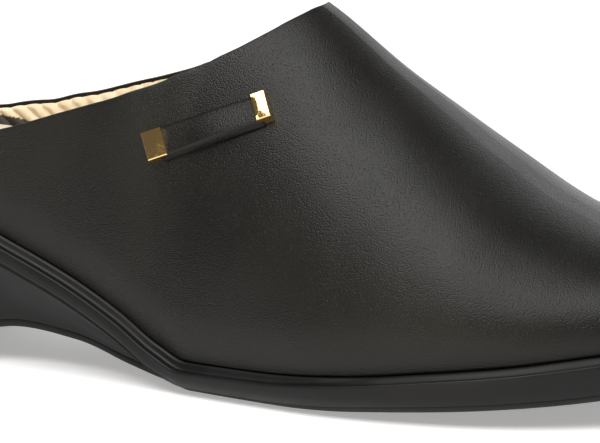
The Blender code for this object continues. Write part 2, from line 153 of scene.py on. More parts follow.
CAMERA_AZIMUTH = 22
CAMERA_ELEVATION = 14
CAMERA_DISTANCE = 1.3
PIXELS_PER_METRE = 4200
IMAGE_WIDTH = 600
IMAGE_HEIGHT = 443
BALL_EDGE = Vector((0.033, -0.0435, 0.010))
BALL_EDGE_PIXEL = (340, 378)
SENSOR_WIDTH = 36
VIEW_END = 20


# The last


def slopes(knots, values):
    steps = [b - a for a, b in zip(knots, knots[1:])]
    rates = [(b - a) / h for a, b, h in zip(values, values[1:], steps)]
    found = [rates[0]]
    for before, after, h0, h1 in zip(rates, rates[1:], steps, steps[1:]):
        if before * after <= 0:
            found.append(0.0)
        else:
            w0 = 2 * h1 + h0
            w1 = h1 + 2 * h0
            found.append((w0 + w1) / (w0 / before + w1 / after))
    found.append(rates[-1])
    return found


class Curve:
    """A smooth curve through knots that never overshoots them."""

    def __init__(self, knots, values):
        self.knots = list(knots)
        self.values = list(values)
        self.slopes = slopes(self.knots, self.values)

    def __call__(self, place):
        place = min(max(place, self.knots[0]), self.knots[-1])
        i = min(bisect_right(self.knots, place) - 1, len(self.knots) - 2)
        h = self.knots[i + 1] - self.knots[i]
        t = (place - self.knots[i]) / h
        rise = (3 - 2 * t) * t * t
        start = self.values[i] * (1 - rise) + self.slopes[i] * h * t * (1 - t) ** 2
        end = self.values[i + 1] * rise - self.slopes[i + 1] * h * t * t * (1 - t)
        return start + end


def read_table(columns, rows):
    table = list(zip(*rows))
    return {name: Curve(table[0], values) for name, values in zip(columns[1:], table[1:])}


last = read_table(LAST_COLUMNS, LAST)
sole = read_table(SOLE_COLUMNS, SOLE)
insole_thickness = Curve(*zip(*INSOLE_THICKNESS))


def rounding(distance, length, full=2.0):
    short = max(0.0, 1 - max(distance, 0.0) / length)
    return max(0.0, 1 - short**full) ** (1 / full)


def end_rounding(station):
    x = station * LAST_LENGTH
    return rounding(x, HEEL_ROUND) * rounding(LAST_LENGTH - x, TOE_ROUND, TOE_FULL)


def centre_line(station):
    ahead = max(0.0, station - SWING_FROM) / (1 - SWING_FROM)
    return TOE_SWING * ahead * ahead


def feather_height(station):
    spring = TOE_SPRING * last["spring"](station)
    return PLATFORM_HEIGHT + HEEL_RISE * last["rise"](station) + spring


def underside_height(station):
    return ARCH_LIFT * sole["arch"](station) + TOE_SPRING * sole["lift"](station)


def half_width(station, side):
    column = "lateral" if side < 0 else "medial"
    return BALL_WIDTH / 2 * last[column](station) * end_rounding(station)


def ridge_height(station):
    front = rounding((1 - station) * LAST_LENGTH, TOE_FRONT_ROUND)
    return INSTEP_HEIGHT * last["ridge"](station) * front


def place(station, y, z):
    return Vector(((station - ORIGIN_STATION) * LAST_LENGTH, y, z))


def last_point(station, angle):
    side = -1 if math.cos(angle) > 0 else 1
    power = 2 / last["full"](station)
    across = abs(math.cos(angle)) ** power
    height = ridge_height(station) * max(0.0, math.sin(angle)) ** power
    low = max(0.0, 1 - height / BULGE_HEIGHT)
    bulge = SIDE_BULGE * end_rounding(station) * (1 - low * low)
    y_side = centre_line(station) + side * (half_width(station, side) + bulge)
    y_ridge = centre_line(station) + RIDGE_OFFSET
    y = y_ridge + (y_side - y_ridge) * across
    return place(station, y, feather_height(station) + height)


def angle_at(station, height):
    share = min(1.0, height / ridge_height(station))
    return math.asin(share ** (last["full"](station) / 2))


def along(points, values):
    run = [0.0]
    for a, b in zip(points, points[1:]):
        run.append(run[-1] + (b - a).length)
    shares = [r / run[-1] for r in run]
    return [Curve(shares, column) for column in zip(*values)], run[-1]


def feather_stations():
    turns = 400
    stations = [(1 - math.cos(math.pi * i / turns)) / 2 for i in range(turns + 1)]
    points = [place(s, -half_width(s, -1) + centre_line(s), 0.0) for s in stations]
    return along(points, [(s,) for s in stations])[0][0]


def topline_half(column):
    """One side's topline by share of its length, and that length."""
    half = [(row[0], angle_at(row[0], row[column] * INSTEP_HEIGHT)) for row in TOPLINE]
    back = [(s, math.pi - a) for s, a in reversed(half)]
    whole = half + [(THROAT_STATION, math.pi / 2)] + back
    (station, angle), length = along([last_point(s, a) for s, a in whole], whole)

    def spot(share):
        return station(share / 2), min(angle(share / 2), math.pi / 2)

    return spot, length / 2


feather_station = feather_stations()
topline_sides = {-1: topline_half(1), 1: topline_half(2)}


def fan(share):
    return FAN * share - (FAN - 1) * share * share


def upper_point(share, side, climb):
    """A point of the outer face, from the feather line at climb 0 to the topline at 1."""
    start = feather_station(share)
    end, end_angle = topline_sides[side][0](fan(share))
    reach0 = math.sqrt(max(0.0, 1 - start))
    reach1 = math.sqrt(1 - end)
    reach = reach0 * (1 - climb) + reach1 * climb
    angle = math.atan2(
        reach1 * math.sin(end_angle) * climb,
        reach0 * (1 - climb) + reach1 * math.cos(end_angle) * climb,
    )
    if side > 0:
        angle = math.pi - angle
    return last_point(1 - reach * reach, angle)


# Columns run from the heel's back round the lateral side, the toe and the medial side


def column_share(column, count):
    half = count // 2
    return (column / half, -1) if column <= half else ((count - column) / half, 1)


def outline(count):
    """Point, outward normal and station of the feather line's plan at each column."""
    points = []
    stations = []
    for column in range(count):
        share, side = column_share(column, count)
        station = feather_station(share)
        y = centre_line(station) + side * half_width(station, side)
        points.append(place(station, y, 0.0))
        stations.append(station)
    normals = []
    for column in range(count):
        run = points[(column + 1) % count] - points[column - 1]
        normals.append(Vector((run.y, -run.x, 0.0)).normalized())
    return list(zip(points, normals, stations))


def grid_normals(rows):
    """Unit normals of a grid that closes round its columns, pointing out of the shoe."""
    count = len(rows[0])
    found = []
    for j, row in enumerate(rows):
        low = rows[max(j - 1, 0)]
        high = rows[min(j + 1, len(rows) - 1)]
        line = []
        for i in range(count):
            run = row[(i + 1) % count] - row[i - 1]
            line.append(run.cross(high[i] - low[i]).normalized())
        found.append(line)
    return found


# Meshes


def mesh_object(name, points, faces, material, node=None):
    data = bpy.data.meshes.new(name)
    data.from_pydata([tuple(p) for p in points], [], faces)
    data.validate()
    data.materials.append(material)
    data.shade_smooth()
    item = bpy.data.objects.new(name, data)
    bpy.context.scene.collection.objects.link(item)
    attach(item, "root")
    if node:
        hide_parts(node)
    return item


def grid_faces(row_count, count, closed=True, flip=False):
    faces = []
    for j in range(row_count - 1):
        for i in range(count if closed else count - 1):
            k = (i + 1) % count
            quad = (j * count + i, j * count + k, (j + 1) * count + k, (j + 1) * count + i)
            faces.append(quad[::-1] if flip else quad)
    return faces


def end_strips(first, count, flip=False):
    """Strips across a ring of columns from side to side, to close it."""
    faces = []
    for i in range(count // 2):
        a, b = first + i, first + i + 1
        c, d = first + (count - i - 1) % count, first + (count - i) % count
        strip = [a, b, c] if i == 0 else [a, b, d] if i == count // 2 - 1 else [a, b, c, d]
        faces.append(strip[::-1] if flip else strip)
    return faces


def set_attribute(item, name, values):
    layer = item.data.attributes.new(name, "FLOAT", "POINT")
    layer.data.foreach_set("value", values)


# Materials. Grain is in repeats per metre, relief in metres, and a pair of colours or numbers
# is the range that slow noise wanders over.

LEATHER_PEBBLES = 2800
LEATHER_FINE_GRAIN = 4600
LEATHER_FINE_SHARE = 0.45
LEATHER_GRAIN_RELIEF = 0.0001
LEATHER_GRAIN_STRENGTH = 0.8
LEATHER_SWELL = 45
LEATHER_SWELL_RELIEF = 0.0006
LEATHER_SWELL_STRENGTH = 0.30
LEATHER_BLACKS = ((0.0046, 0.0044, 0.0036), (0.0068, 0.0065, 0.0053))
# Brown of the raw edge on the topline's rim, partly a painted highlight along it
LEATHER_RAW_EDGE_AND_HIGHLIGHT = (0.22, 0.14, 0.075)
LEATHER_ROUGHNESS = (0.29, 0.36)
LEATHER_IOR = 1.34

LINING_WEAVE = 3000
LINING_WEAVE_RELIEF = 0.0001
LINING_BEIGES = ((0.80, 0.63, 0.40), (0.90, 0.76, 0.54))
# Painted shade on the lining's foot, where it meets the footbed
LINING_FOOT_SHADE = (0.035, 0.025, 0.018)

FOOTBED_PORES = 1400
FOOTBED_PORE_RELIEF = 0.00006
FOOTBED_CREAMS = ((0.70, 0.62, 0.50), (0.78, 0.71, 0.60))
CELL_SMOOTHNESS = 0.35

SOLE_BLACK = (0.0055, 0.0055, 0.0057)
SOLE_TONES = (0.85, 1.15)
SOLE_IOR = 1.31
SOLE_SKIN = 2600
SOLE_ROUGHNESS_SPREAD = 0.05
MOULDED_ROUGHNESS = 0.42
MOULDED_RELIEF = 0.00003
TREAD_ROUGHNESS = 0.55
TREAD_RELIEF = 0.00005

GOLD = (0.95, 0.62, 0.25, 1.0)
GOLD_SCUFFS = 1800
GOLD_ROUGHNESS = (0.07, 0.16)


class Shader:
    """Short calls that add nodes to a material and link them."""

    def __init__(self, name):
        self.material = bpy.data.materials.new(name)
        self.material.use_nodes = True
        self.nodes = self.material.node_tree.nodes
        self.links = self.material.node_tree.links
        self.principled = self.nodes["Principled BSDF"]
        self.coordinates = self.nodes.new("ShaderNodeTexCoord").outputs["Object"]

    def put(self, socket, value):
        if isinstance(value, bpy.types.NodeSocket):
            self.links.new(value, socket)
        else:
            socket.default_value = value

    def set(self, **values):
        for name, value in values.items():
            self.put(self.principled.inputs[name.replace("_", " ")], value)

    def noise(self, scale, detail):
        node = self.nodes.new("ShaderNodeTexNoise")
        node.inputs["Scale"].default_value = scale
        node.inputs["Detail"].default_value = detail
        self.links.new(self.coordinates, node.inputs["Vector"])
        return node.outputs["Fac"]

    def cells(self, scale, feature):
        node = self.nodes.new("ShaderNodeTexVoronoi")
        node.feature = feature
        node.inputs["Scale"].default_value = scale
        if feature == "SMOOTH_F1":
            node.inputs["Smoothness"].default_value = CELL_SMOOTHNESS
        self.links.new(self.coordinates, node.inputs["Vector"])
        return node.outputs["Distance"]

    def ramp(self, value, low, high, to_low=0.0, to_high=1.0):
        node = self.nodes.new("ShaderNodeMapRange")
        node.interpolation_type = "SMOOTHSTEP"
        for name, number in zip(
            ("From Min", "From Max", "To Min", "To Max"), (low, high, to_low, to_high)
        ):
            node.inputs[name].default_value = number
        self.links.new(value, node.inputs["Value"])
        return node.outputs["Result"]

    def math(self, kind, a, b):
        node = self.nodes.new("ShaderNodeMath")
        node.operation = kind
        self.put(node.inputs[0], a)
        self.put(node.inputs[1], b)
        return node.outputs[0]

    def mix(self, share, a, b):
        node = self.nodes.new("ShaderNodeMix")
        node.data_type = "RGBA"
        self.put(node.inputs["Factor"], share)
        self.put(node.inputs["A"], a if not isinstance(a, tuple) else (*a, 1.0))
        self.put(node.inputs["B"], b if not isinstance(b, tuple) else (*b, 1.0))
        return node.outputs["Result"]

    def attribute(self, name):
        node = self.nodes.new("ShaderNodeAttribute")
        node.attribute_name = name
        return node.outputs["Fac"]

    def bump(self, height, distance, strength, under=None):
        node = self.nodes.new("ShaderNodeBump")
        node.inputs["Distance"].default_value = distance
        node.inputs["Strength"].default_value = strength
        self.links.new(height, node.inputs["Height"])
        if under:
            self.links.new(under, node.inputs["Normal"])
        return node.outputs["Normal"]


def leather_material():
    """Black pebbled leather, with a brown raw edge where the attribute edge is 1; that brown line
    is also a painted highlight along the topline's rim.
    """
    m = Shader("black_grained_leather")
    pebbles = m.cells(LEATHER_PEBBLES, "F1")
    domes = m.math("MULTIPLY", pebbles, pebbles)
    fine = m.noise(LEATHER_FINE_GRAIN, 2.0)
    swell = m.noise(LEATHER_SWELL, 2.0)
    height = m.math("SUBTRACT", m.math("MULTIPLY", fine, LEATHER_FINE_SHARE), domes)
    soft = m.bump(swell, LEATHER_SWELL_RELIEF, LEATHER_SWELL_STRENGTH)
    normal = m.bump(height, LEATHER_GRAIN_RELIEF, LEATHER_GRAIN_STRENGTH, soft)
    tone = m.ramp(m.noise(30, 2.0), 0.35, 0.65)
    black = m.mix(tone, *LEATHER_BLACKS)
    # The rim row's brown is the raw edge and a painted highlight along the topline
    colour = m.mix(m.attribute("edge"), black, LEATHER_RAW_EDGE_AND_HIGHLIGHT)
    rough = m.ramp(m.noise(60, 3.0), 0.3, 0.7, *LEATHER_ROUGHNESS)
    m.set(Base_Color=colour, Roughness=rough, Normal=normal, IOR=LEATHER_IOR)
    return m.material


def lining_material():
    """Beige cloth, with painted shade along its foot just over the footbed, where its shade
    attribute is 1.
    """
    m = Shader("beige_gathered_lining")
    weave = m.noise(LINING_WEAVE, 2.0)
    blotches = m.ramp(m.noise(160, 3.0), 0.3, 0.7)
    beige = m.mix(blotches, *LINING_BEIGES)
    colour = m.mix(m.attribute("foot_shade"), beige, LINING_FOOT_SHADE)
    relief = m.bump(weave, LINING_WEAVE_RELIEF, 0.6)
    m.set(Base_Color=colour, Roughness=0.7, Normal=relief)
    m.set(Sheen_Weight=0.15)
    return m.material


def insole_material():
    m = Shader("cream_footbed_leather")
    pores = m.cells(FOOTBED_PORES, "SMOOTH_F1")
    blotches = m.ramp(m.noise(60, 3.0), 0.3, 0.7)
    colour = m.mix(blotches, *FOOTBED_CREAMS)
    relief = m.bump(pores, FOOTBED_PORE_RELIEF, 0.5)
    m.set(Base_Color=colour, Roughness=0.62, Normal=relief)
    return m.material


def sole_material(name, roughness, relief):
    m = Shader(name)
    m.set(IOR=SOLE_IOR)
    skin = m.noise(SOLE_SKIN, 3.0)
    flow = m.noise(90, 2.0)
    tone = m.ramp(flow, 0.3, 0.7)
    colour = m.mix(tone, *(tuple(c * share for c in SOLE_BLACK) for share in SOLE_TONES))
    spread = SOLE_ROUGHNESS_SPREAD
    rough = m.ramp(flow, 0.3, 0.7, roughness - spread, roughness + spread)
    m.set(Base_Color=colour, Roughness=rough, Normal=m.bump(skin, relief, 0.5))
    return m.material


def gold_material():
    m = Shader("pale_gold_plate")
    scuffs = m.noise(GOLD_SCUFFS, 3.0)
    rough = m.ramp(scuffs, 0.35, 0.75, *GOLD_ROUGHNESS)
    m.set(Base_Color=GOLD, Metallic=1.0, Roughness=rough)
    return m.material


# The upper

OUTER_COLUMNS = 640
OUTER_ROWS = 96
RIM_STEPS = 8
RIM_THICKNESS = 0.0010
FOLD_DEPTH = 0.0012
FOLD_STEPS = 3
TUCK = 0.0012


def climb_end(share, side, back):
    """The climb at which the outer face is back below the topline."""
    step = 0.02
    top = upper_point(share, side, 1.0)
    speed = (top - upper_point(share, side, 1 - step)).length / step
    return 1 - back / speed


def outer_rows(count, row_count, back):
    """The outer face's grid, ending back(share, side) below the topline."""
    rows = [[] for _ in range(row_count + 1)]
    for column in range(count):
        share, side = column_share(column, count)
        end = climb_end(share, side, back(share, side))
        for j in range(row_count + 1):
            t = j / row_count
            point = upper_point(share, side, end * t)
            point.z += GAP
            rows[j].append(point)
    return rows


def make_upper(material):
    radius = RIM_THICKNESS / 2
    count = OUTER_COLUMNS
    rows = outer_rows(count, OUTER_ROWS, lambda share, side: radius)
    normals = grid_normals(rows)
    spots = outline(count)
    tuck = []
    for (_, outward, station), low in zip(spots, rows[0]):
        tucked = low - outward * TUCK
        tucked.z = feather_height(station) + GAP / 3
        tuck.append(tucked)
    tops = rows[-1]
    top_normals = normals[-1]
    ups = [(a - b).normalized() for a, b in zip(rows[-1], rows[-2])]
    rim = []
    for k in range(1, RIM_STEPS + 1):
        turn = math.pi * k / RIM_STEPS
        out = radius * (math.cos(turn) - 1)
        up = radius * math.sin(turn)
        rim.append([p + n * out + u * up for p, n, u in zip(tops, top_normals, ups)])
    fold = []
    for k in range(1, FOLD_STEPS + 1):
        down = FOLD_DEPTH * k / FOLD_STEPS
        fold.append([p - u * down for p, u in zip(rim[-1], ups)])
    every = [tuck] + rows + rim + fold
    points = [p for row in every for p in row]
    item = mesh_object(
        "upper_leather", points, grid_faces(len(every), count), material, "upper"
    )
    edge = []
    # One row on the rim's top is brown: the raw edge, and a painted highlight along the topline
    raw_edge_highlight_row = len(rows) + RIM_STEPS // 2 + 1
    for j in range(len(every)):
        edge += [1.0 if j == raw_edge_highlight_row else 0.0] * count
    set_attribute(item, "edge", edge)
    return item


# The lining, gathered into slanting pleats under the topline

LINING_COLUMNS = 2000
LINING_ROWS = 34
LINING_START = {-1: 0.0001, 1: 0.0008}
LINING_SCALLOP = 0.0003
LINING_PITCH = 0.0045
LINING_SLANT = 1.05
LINING_LIFT = 0.0014
LINING_SHEET = 0.0002
PLEAT_REACH = 0.045
PLEAT_SHARPNESS = 0.6
PLEAT_LEAST = 0.4
PLEAT_DRIFT = 0.0016
PLEAT_UNEVEN = 0.4
PLEAT_MEAN = 0.8
DRIFT_ALONG = 55
DRIFT_DOWN = 40
UNEVEN_ALONG = 280
UNEVEN_DOWN = 70
UNEVEN_SEED = 5
LINING_TOP_ROUND = 0.0008
# Height of the strip of painted shade on the lining over the footbed
FOOT_SHADE_HEIGHT = 0.0012


def pleat(run, down, side):
    """Height share of the pleats at a distance along the topline and down from it."""
    drift = PLEAT_DRIFT * noise.noise(Vector((run * DRIFT_ALONG, down * DRIFT_DOWN, side)))
    phase = (run - LINING_SLANT * down + drift) / LINING_PITCH
    wave = abs(math.sin(math.pi * phase)) ** PLEAT_SHARPNESS
    spot = Vector((run * UNEVEN_ALONG, down * UNEVEN_DOWN, side + UNEVEN_SEED))
    uneven = PLEAT_MEAN + PLEAT_UNEVEN * noise.noise(spot)
    fade = max(0.0, 1 - down / PLEAT_REACH)
    return wave * uneven * (PLEAT_LEAST + (1 - PLEAT_LEAST) * fade)


def lining_top(share, side):
    """How far under the topline the lining ends: lower between two pleats."""
    run = fan(share) * topline_sides[side][1]
    return LINING_START[side] + LINING_SCALLOP * (1 - pleat(run, 0.0, side))


def make_lining(material):
    count = LINING_COLUMNS
    rows = outer_rows(count, LINING_ROWS, lining_top)
    normals = grid_normals(rows)
    points = []
    foot_shade = []
    for row, line in zip(rows, normals):
        for i, (point, normal) in enumerate(zip(row, line)):
            share, side = column_share(i, count)
            run = fan(share) * topline_sides[side][1]
            down = (rows[-1][i] - point).length
            station = feather_station(share)
            lift = LINING_LIFT * pleat(run, down, side)
            round_top = rounding(down, LINING_TOP_ROUND)
            depth = RIM_THICKNESS + LINING_SHEET + lift * round_top
            points.append(point - normal * depth)
            # The lining's foot just over the footbed gets painted shade
            over = point.z - feather_height(station) - insole_thickness(station)
            foot_shade.append(1.0 if over < FOOT_SHADE_HEIGHT else 0.0)
    item = mesh_object(
        "upper_lining",
        points,
        grid_faces(len(rows), count, flip=True),
        material,
        "upper",
    )
    set_attribute(item, "foot_shade", foot_shade)
    return item


# The footbed

INSOLE_COLUMNS = 360
INSET_STEP = 0.0002
# Inset from the footbed's edge and fall from its full thickness
INSOLE_PROFILE = (
    (0.0, -0.0060),
    (0.0, -0.0016),
    (0.0003, -0.0008),
    (0.0009, -0.0002),
    (0.0018, 0.0),
    (0.0040, -0.0001),
    (0.0070, -0.0004),
    (0.0110, -0.0008),
    (0.0150, -0.0010),
)


def cover(x, y):
    """Height of the last over the feather line at a place in plan, 0 outside its outline."""
    station = x / LAST_LENGTH + ORIGIN_STATION
    if not 0 < station < 1:
        return 0.0
    ridge = centre_line(station) + RIDGE_OFFSET
    side = -1 if y < ridge else 1
    reach = abs(centre_line(station) + side * half_width(station, side) - ridge)
    across = abs(y - ridge) / reach
    if across >= 1:
        return 0.0
    full = last["full"](station)
    return ridge_height(station) * (1 - across**full) ** (1 / full)


def inner_inset(point, outward, height):
    """How far inside the outline the upper's inner face is at a height over the feather line."""
    lean = 0.0
    while lean < BALL_WIDTH / 2:
        spot = point - outward * lean
        if cover(spot.x, spot.y) >= height + UPPER_WALL:
            break
        lean += INSET_STEP
    return lean + UPPER_WALL


def make_insole(material):
    spots = outline(INSOLE_COLUMNS)
    insets = [
        inner_inset(point, outward, insole_thickness(station)) + INSOLE_CLEARANCE
        for point, outward, station in spots
    ]
    rows = []
    for inset, fall in INSOLE_PROFILE:
        row = []
        for (point, outward, station), base in zip(spots, insets):
            spot = point - outward * (base + inset)
            thick = insole_thickness(station)
            spot.z = feather_height(station) + max(GAP, thick + fall)
            row.append(spot)
        rows.append(row)
    points = [p for row in rows for p in row]
    faces = grid_faces(len(rows), INSOLE_COLUMNS)
    faces += end_strips((len(rows) - 1) * INSOLE_COLUMNS, INSOLE_COLUMNS)
    item = mesh_object("insole_footbed", points, faces, material, "insole")
    return item


# The sole unit

SOLE_RING = 720
LIP_STEPS = 5
LIP_RADIUS = 0.0005
BAND_STEPS = 5
SIDE_STEPS = 16
LEDGE_INNER = 0.0004
SEAT_SINK = 0.0002
SEAM_GROOVE = 0.00020

# The ledge's section, from the upper out to its lip and from its top down, in shares: steep under
# the upper's side from the heel to the front of the waist, an even slope round the forefoot.
# Columns: out, down where steep, down where even.
LEDGE = (
    (0.00, 0.00, 0.00),
    (0.12, 0.32, 0.08),
    (0.24, 0.64, 0.18),
    (0.36, 0.88, 0.30),
    (0.50, 0.96, 0.46),
    (0.66, 0.98, 0.65),
    (0.83, 1.00, 0.84),
    (1.00, 1.00, 1.00),
)
STEEP_TO = 0.57
EVEN_FROM = 0.67
# The groove's section: how far down its width, and how deep
GROOVE_SECTION = ((0.15, 0.6), (0.40, 1.0), (0.62, 1.0), (0.85, 0.7))
BAND_ROOM = 0.55
GROOVE_ROOM = 0.2
HOLLOW_POWER = 1.15
SEAT_TUCK = 0.0020
STEP_DEPTH = 0.0006
BAND_SWELL = 0.0002
BELLY_POWER = 3


def blend(a, b, share):
    return a + (b - a) * share


def side_outset(station, height):
    """How far out of the feather line's plan the side is at a height, ledge and groove aside."""
    waist = sole["groove"](station)
    undercut = LEDGE_WIDTH * sole["under"](station)
    top = feather_height(station) - SHOULDER_DROP * sole["shoulder"](station)
    low = underside_height(station)
    down = min(1.0, (top - height) / (top - low))
    belly = down**BELLY_POWER
    start = top - BAND_HEIGHT - GROOVE_WIDTH
    seam = low + OUTSOLE_THICKNESS
    along_side = min(1.0, max(0.0, (start - height) / max(start - seam, GAP)))
    hollow = math.sin(along_side * math.pi / 2) ** HOLLOW_POWER
    step = STEP_DEPTH * waist * (1 - along_side)
    return LEDGE_WIDTH - step - undercut * blend(belly, hollow, waist)


def sole_side(station):
    """The side's section as (outset, height) from the seat down to the outsole's seam."""
    seat = feather_height(station)
    drop = SHOULDER_DROP * sole["shoulder"](station)
    waist = sole["groove"](station)
    foot = underside_height(station) + OUTSOLE_THICKNESS
    lip = LEDGE_WIDTH - LIP_RADIUS
    section = [(-SEAT_TUCK, seat - SEAT_SINK)]
    even = min(1.0, max(0.0, (station - STEEP_TO) / (EVEN_FROM - STEEP_TO)))
    for out, steep, slope in LEDGE:
        section.append((blend(LEDGE_INNER, lip, out), seat - drop * blend(steep, slope, even)))
    band_top = seat - drop
    for k in range(1, LIP_STEPS + 1):
        turn = math.pi / 2 * k / LIP_STEPS
        down = LIP_RADIUS * (1 - math.cos(turn))
        section.append((lip + LIP_RADIUS * math.sin(turn), band_top - down))
    room = band_top - LIP_RADIUS - foot
    band = min(BAND_HEIGHT, room * BAND_ROOM)
    low = band_top - LIP_RADIUS - band
    for k in range(1, BAND_STEPS + 1):
        t = k / BAND_STEPS
        height = band_top - LIP_RADIUS - band * t
        swell = BAND_SWELL * math.sin(math.pi * t)
        outset = blend(side_outset(station, height), LEDGE_WIDTH + swell, waist)
        section.append((outset, height))
    width = min(GROOVE_WIDTH, room * GROOVE_ROOM)
    for share, depth in GROOVE_SECTION:
        height = low - width * share
        plain = blend(side_outset(station, height), LEDGE_WIDTH, waist)
        section.append((plain - GROOVE_DEPTH * depth * waist, height))
    start = low - width
    for k in range(SIDE_STEPS + 1):
        height = start + (foot - start) * k / SIDE_STEPS
        section.append((side_outset(station, height), height))
    return section


def rings_object(name, section_at, material, node, close_low):
    """A piece made of rings round the sole, from each station's section from the top down."""
    count = SOLE_RING
    spots = outline(count)
    columns = [section_at(station) for _, _, station in spots]
    rows = []
    for j in range(len(columns[0])):
        row = []
        for (point, outward, _), section in zip(spots, columns):
            outset, height = section[j]
            row.append(Vector((*(point + outward * outset).xy, height)))
        rows.append(row)
    points = [p for row in rows for p in row]
    faces = grid_faces(len(rows), count, flip=True)
    faces += end_strips(0, count)
    if close_low:
        faces += end_strips((len(rows) - 1) * count, count, flip=True)
    return mesh_object(name, points, faces, material, node)


def make_midsole(material):
    return rings_object("midsole_unit", sole_side, material, "midsole", True)


# The tread

TREAD_ROWS = 640
TREAD_ACROSS = 72
TREAD_PITCH = 0.0052
TREAD_DEPTH = 0.0006
TREAD_BORDER = 0.0045
TREAD_WAVE = 0.0022
TREAD_WAVE_LENGTH = 0.017
CHANNEL_HALF = 0.0008
CHANNEL_POWER = 4
BORDER_FADE = 0.0006
TREAD_INSET = 0.0018
END_ROW_STEP = 0.0005
END_ROW_INSIDE = 0.001

# The edge strip's section below its seam. Columns: inset from the side, the height at which the
# side is read, and the height, both over the tread's face.
EDGE_SECTION = (
    (0.0, 0.0012, 0.0012),
    (0.0, 0.0007, 0.0007),
    (0.0002, 0.0, 0.0003),
    (0.0007, 0.0, 0.0),
)


def tread_relief(x, y, inside):
    """Depth of the tread's wavy channels at a place, none near the edge."""
    wave = TREAD_WAVE * math.sin(2 * math.pi * y / TREAD_WAVE_LENGTH)
    phase = (x + wave) / TREAD_PITCH
    near = abs(phase - round(phase)) * TREAD_PITCH
    channel = max(0.0, 1 - (near / CHANNEL_HALF) ** CHANNEL_POWER)
    border = min(1.0, max(0.0, (inside - TREAD_BORDER) / BORDER_FADE))
    return TREAD_DEPTH * channel * border


def make_outsole(material):
    """The tread: its edge strip round the sole and its underside with wavy channels."""

    def edge(station):
        low = underside_height(station)
        top = low + OUTSOLE_THICKNESS

        def outset(height):
            return side_outset(station, height)

        section = [
            (outset(top) - SEAT_TUCK, top),
            (outset(top) - SEAM_GROOVE, top),
            (outset(top - SEAM_GROOVE), top - SEAM_GROOVE),
        ]
        for inset, read_at, height in EDGE_SECTION:
            section.append((outset(low + read_at) - inset, low + height))
        section.append((outset(low) - SEAT_TUCK, low))
        return section

    rim = rings_object("outsole_edge", edge, material, "outsole", False)
    half = TREAD_ROWS
    spots = outline(2 * half)
    inner = []
    for point, outward, station in spots:
        outset = LEDGE_WIDTH - LEDGE_WIDTH * sole["under"](station) - TREAD_INSET
        inner.append((point + outward * outset, station))
    points = []
    for i in range(half + 1):
        (a, station), (b, _) = inner[i], inner[(2 * half - i) % (2 * half)]
        width = (b - a).length
        for k in range(TREAD_ACROSS + 1):
            t = k / TREAD_ACROSS
            spot = a.lerp(b, t)
            inside = min(t, 1 - t) * width
            inside = min(inside, min(i, half - i) * END_ROW_STEP + END_ROW_INSIDE)
            spot.z = underside_height(station) + tread_relief(spot.x, spot.y, inside)
            points.append(spot)
    faces = grid_faces(half + 1, TREAD_ACROSS + 1, closed=False)
    tread = mesh_object("outsole_tread", points, faces, material, "outsole")
    return rim, tread


# The strap and its caps


def strap_frame(share):
    """Point on the upper along the strap, with its directions forward, outward and down it."""
    step = 0.01

    def spot(t):
        station = STRAP_BACK[0] + (STRAP_FRONT[0] - STRAP_BACK[0]) * t
        rise = (STRAP_BACK[1] + (STRAP_FRONT[1] - STRAP_BACK[1]) * t) * INSTEP_HEIGHT
        return station, angle_at(station, PLATFORM_HEIGHT + rise - feather_height(station))

    def on_upper(t):
        return last_point(*spot(t))

    point = on_upper(share)
    forward = (on_upper(share + step) - on_upper(share - step)).normalized()
    station, angle = spot(share)
    climb = last_point(station, angle + step) - last_point(station, angle - step)
    normal = climb.cross(forward).normalized()
    if normal.y > 0:
        normal = -normal
    across = normal.cross(forward).normalized()
    down = across if across.z < 0 else -across
    point.z += GAP
    return point, forward, normal, down


# The strap's section over the upper, from its upper edge across the face and round its lower edge.
# Columns: reach down the strap in halves of its width, more of it in strap feet, height in mm.

STRAP_SECTION = (
    (-0.98, 0.0, 0.1),
    (-1.00, 0.0, 0.5),
    (-0.93, 0.0, 1.0),
    (-0.40, 0.0, 1.6),
    (0.40, 0.0, 2.05),
    (0.90, 0.0, 2.2),
    (0.99, 0.0, 2.05),
    (1.00, 0.20, 1.6),
    (1.00, 0.45, 1.0),
    (1.00, 0.7, 0.5),
    (1.00, 0.7, 0.2),
    (0.80, 0.6, 0.1),
)
STRAP_STEPS = 24
STRAP_SUBDIVISIONS = 3
MILLIMETRE = 0.001


def make_strap(material):
    """The folded strip, thin along its upper edge and full along its lower one."""
    points = []
    for i in range(STRAP_STEPS + 1):
        t = i / STRAP_STEPS
        point, _, normal, down = strap_frame(t)
        bow = STRAP_ARCH * math.sin(math.pi * t) ** 2
        for reach, foot, height in STRAP_SECTION:
            over = down * (reach * STRAP_WIDTH / 2 + foot * STRAP_FOOT)
            rise = height * MILLIMETRE + bow * min(1.0, height)
            points.append(point + over + normal * rise)
    count = len(STRAP_SECTION)
    faces = grid_faces(STRAP_STEPS + 1, count)
    faces.append(list(range(count))[::-1])
    start = STRAP_STEPS * count
    faces.append([start + k for k in range(count)])
    item = mesh_object("strap_leather", points, faces, material, "strap")
    round_off = item.modifiers.new("round", "SUBSURF")
    round_off.levels = STRAP_SUBDIVISIONS
    round_off.render_levels = STRAP_SUBDIVISIONS
    set_attribute(item, "edge", [0.0] * len(points))
    return item


CAP_CROWN = 0.0002
CAP_FACE_STEPS = 12
CAP_BEVEL = 0.00025
CAP_FLARE_POWER = 4
CAP_LIFT = 0.0002
CAP_SHARP_ANGLE = 25


